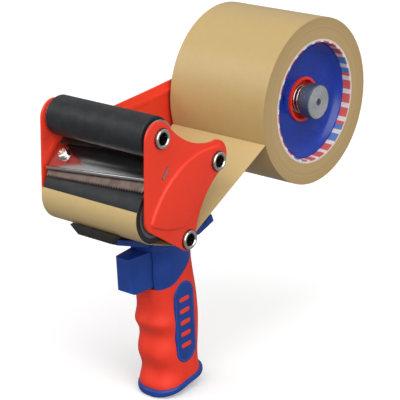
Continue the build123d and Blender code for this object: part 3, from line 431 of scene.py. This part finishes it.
def sharp_by_angle():
    """Geometry nodes that keep shading smooth, but split it along edges steeper than SHARP."""
    group = bpy.data.node_groups.new("sharp_by_angle", "GeometryNodeTree")
    group.interface.new_socket("Geometry", in_out="INPUT", socket_type="NodeSocketGeometry")
    group.interface.new_socket("Geometry", in_out="OUTPUT", socket_type="NodeSocketGeometry")
    start = group.nodes.new("NodeGroupInput")
    end = group.nodes.new("NodeGroupOutput")
    faces = group.nodes.new("GeometryNodeSetShadeSmooth")
    edges = group.nodes.new("GeometryNodeSetShadeSmooth")
    edges.domain = "EDGE"
    edges.inputs["Shade Smooth"].default_value = False
    angle = group.nodes.new("GeometryNodeInputMeshEdgeAngle")
    steep = group.nodes.new("FunctionNodeCompare")
    steep.operation = "GREATER_THAN"
    steep.inputs["B"].default_value = SHARP
    group.links.new(start.outputs[0], faces.inputs["Geometry"])
    group.links.new(faces.outputs[0], edges.inputs["Geometry"])
    group.links.new(angle.outputs["Unsigned Angle"], steep.inputs["A"])
    group.links.new(steep.outputs[0], edges.inputs["Selection"])
    group.links.new(edges.outputs[0], end.inputs[0])
    return group


SHARPEN = sharp_by_angle()


def smooth_node(piece):
    mesh = piece.data
    if "custom_normal" in mesh.attributes:
        mesh.attributes.remove(mesh.attributes["custom_normal"])
    weld = piece.modifiers.new("weld", "WELD")
    weld.merge_threshold = 0.000002
    if piece.name in SOFT_EDGES:
        bevel = piece.modifiers.new("bevel", "BEVEL")
        bevel.width = SOFT_EDGES[piece.name] * MM
        bevel.segments = 3
        bevel.limit_method = "ANGLE"
        bevel.angle_limit = radians(35)
        bevel.use_clamp_overlap = True
    piece.modifiers.new("sharp_by_angle", "NODES").node_group = SHARPEN


FACING = 0.9  # least part of the normal along X that makes a face an end face
TAB_FROM_X = 0.039  # the bracket's tab starts here


def end_face(face):
    return abs(face.normal.x) > FACING


def knob_rim(face):
    return abs(face.normal.x) < FACING


def bracket_tab(face):
    return face.center.x > TAB_FROM_X


# A second material on some faces of a node: (material, which faces)
SECOND = {
    "tape_roll": (ROLL_SIDE, end_face),
    "tape_web": (ROLL_SIDE, end_face),
    "brake_knob": (KNOB_RIM, knob_rim),
    "blade_bracket": (ZINC, bracket_tab),
}
OWN = {  # pieces painted apart from the rest of their slot
    "grip_inlay_right": INLAY,
    "grip_inlay_left": INLAY,
    "tape_web": tape_film("free_film", (0.575, 0.42, 0.190), (0.50, 0.345, 0.135)),
}

for name, piece in nodes.items():
    smooth_node(piece)
    piece.data.materials.clear()
    piece.data.materials.append(OWN.get(name, by_slot[slot_of[name]]))
    if name in SECOND:
        material, chosen = SECOND[name]
        piece.data.materials.append(material)
        for face in piece.data.polygons:
            face.material_index = 1 if chosen(face) else 0

# ---------------------------------------------------------------- camera, floor and light
CAMERA_AIM = Vector((-0.01975, 0.08340, -0.01111))
CAMERA_DISTANCE = 1.0305
CAMERA_AZIMUTH = radians(40.03)
CAMERA_ELEVATION = radians(18.93)
CAMERA_ROLL = radians(-0.36)
CAMERA_LENS = 143.14

camera = bpy.data.objects.new("camera", bpy.data.cameras.new("camera"))
bpy.context.scene.collection.objects.link(camera)
bpy.context.scene.camera = camera
right = Vector((cos(CAMERA_AZIMUTH), sin(CAMERA_AZIMUTH), 0))
back = Vector(
    (
        sin(CAMERA_AZIMUTH) * cos(CAMERA_ELEVATION),
        -cos(CAMERA_AZIMUTH) * cos(CAMERA_ELEVATION),
        sin(CAMERA_ELEVATION),
    )
)
upward = back.cross(right)
turn = Matrix((right, upward, back)).transposed() @ Matrix.Rotation(CAMERA_ROLL, 3, "Z")
camera.matrix_world = Matrix.LocRotScale(CAMERA_AIM + back * CAMERA_DISTANCE, turn, None)
camera.data.lens = CAMERA_LENS
camera.data.sensor_width = 36


def floor():
    """Pale floor just under the part. It throws no light back up at the part."""
    mesh = bpy.data.meshes.new("floor")
    grid = bmesh.new()
    bmesh.ops.create_grid(grid, x_segments=1, y_segments=1, size=6.0)
    grid.to_mesh(mesh)
    piece = bpy.data.objects.new("floor", mesh)
    bpy.context.scene.collection.objects.link(piece)
    piece.location = (0, 0, cad_box[0][2] - 0.0002)
    paint = Paint("floor_white", (0.95, 0.95, 0.95), Roughness=0.8, Emission_Strength=0.16)
    paint.shader.inputs["Emission Color"].default_value = (1, 1, 1, 1)
    paint.colour(paint.mix(paint.noise(3, 2), (0.95, 0.95, 0.95), (0.93, 0.93, 0.935)))
    mesh.materials.append(paint.material)
    piece.visible_diffuse = False
    piece.visible_glossy = False


def softbox(name, place, aim, size, power, colour=(1, 1, 1)):
    light = bpy.data.lights.new(name, "AREA")
    light.shape = "RECTANGLE"
    light.size, light.size_y = size
    light.energy = power
    light.color = colour
    piece = bpy.data.objects.new(name, light)
    bpy.context.scene.collection.objects.link(piece)
    place = Vector(place)
    piece.rotation_euler = (Vector(aim) - place).to_track_quat("-Z", "Y").to_euler()
    piece.location = place
    return piece


def sun(name, towards, strength, spread):
    """Light from that direction, as even near as far."""
    light = bpy.data.lights.new(name, "SUN")
    light.energy = strength
    light.angle = radians(spread)
    piece = bpy.data.objects.new(name, light)
    bpy.context.scene.collection.objects.link(piece)
    piece.rotation_euler = Vector(towards).to_track_quat("Z", "Y").to_euler()
    return piece


floor()
middle = Vector((0, 0.06, 0))
sun("key", (0.55, -0.55, 0.66), 2.6, 80)
softbox("side_right", (1.1, -0.25, 0.35), middle, (0.7, 0.9), 1.6)
softbox("front_left", (-0.72, -0.66, 0.66), middle, (0.6, 0.6), 2.4)


def studio_world():
    """White surroundings, brighter above than below."""
    world = bpy.data.worlds.new("studio")
    world.use_nodes = True
    tree = world.node_tree
    place = tree.nodes.new("ShaderNodeTexCoord")
    split = tree.nodes.new("ShaderNodeSeparateXYZ")
    ramp = tree.nodes.new("ShaderNodeMapRange")
    ramp.inputs["From Min"].default_value = -0.5
    ramp.inputs["From Max"].default_value = 0.6
    ramp.inputs["To Min"].default_value = 0.24
    ramp.inputs["To Max"].default_value = 0.50
    tree.links.new(place.outputs["Generated"], split.inputs[0])
    tree.links.new(split.outputs["Z"], ramp.inputs["Value"])
    tree.links.new(ramp.outputs["Result"], tree.nodes["Background"].inputs["Strength"])
    tree.nodes["Background"].inputs["Color"].default_value = (1, 1, 1, 1)
    bpy.context.scene.world = world


studio_world()
bpy.context.scene.view_settings.view_transform = "Standard"
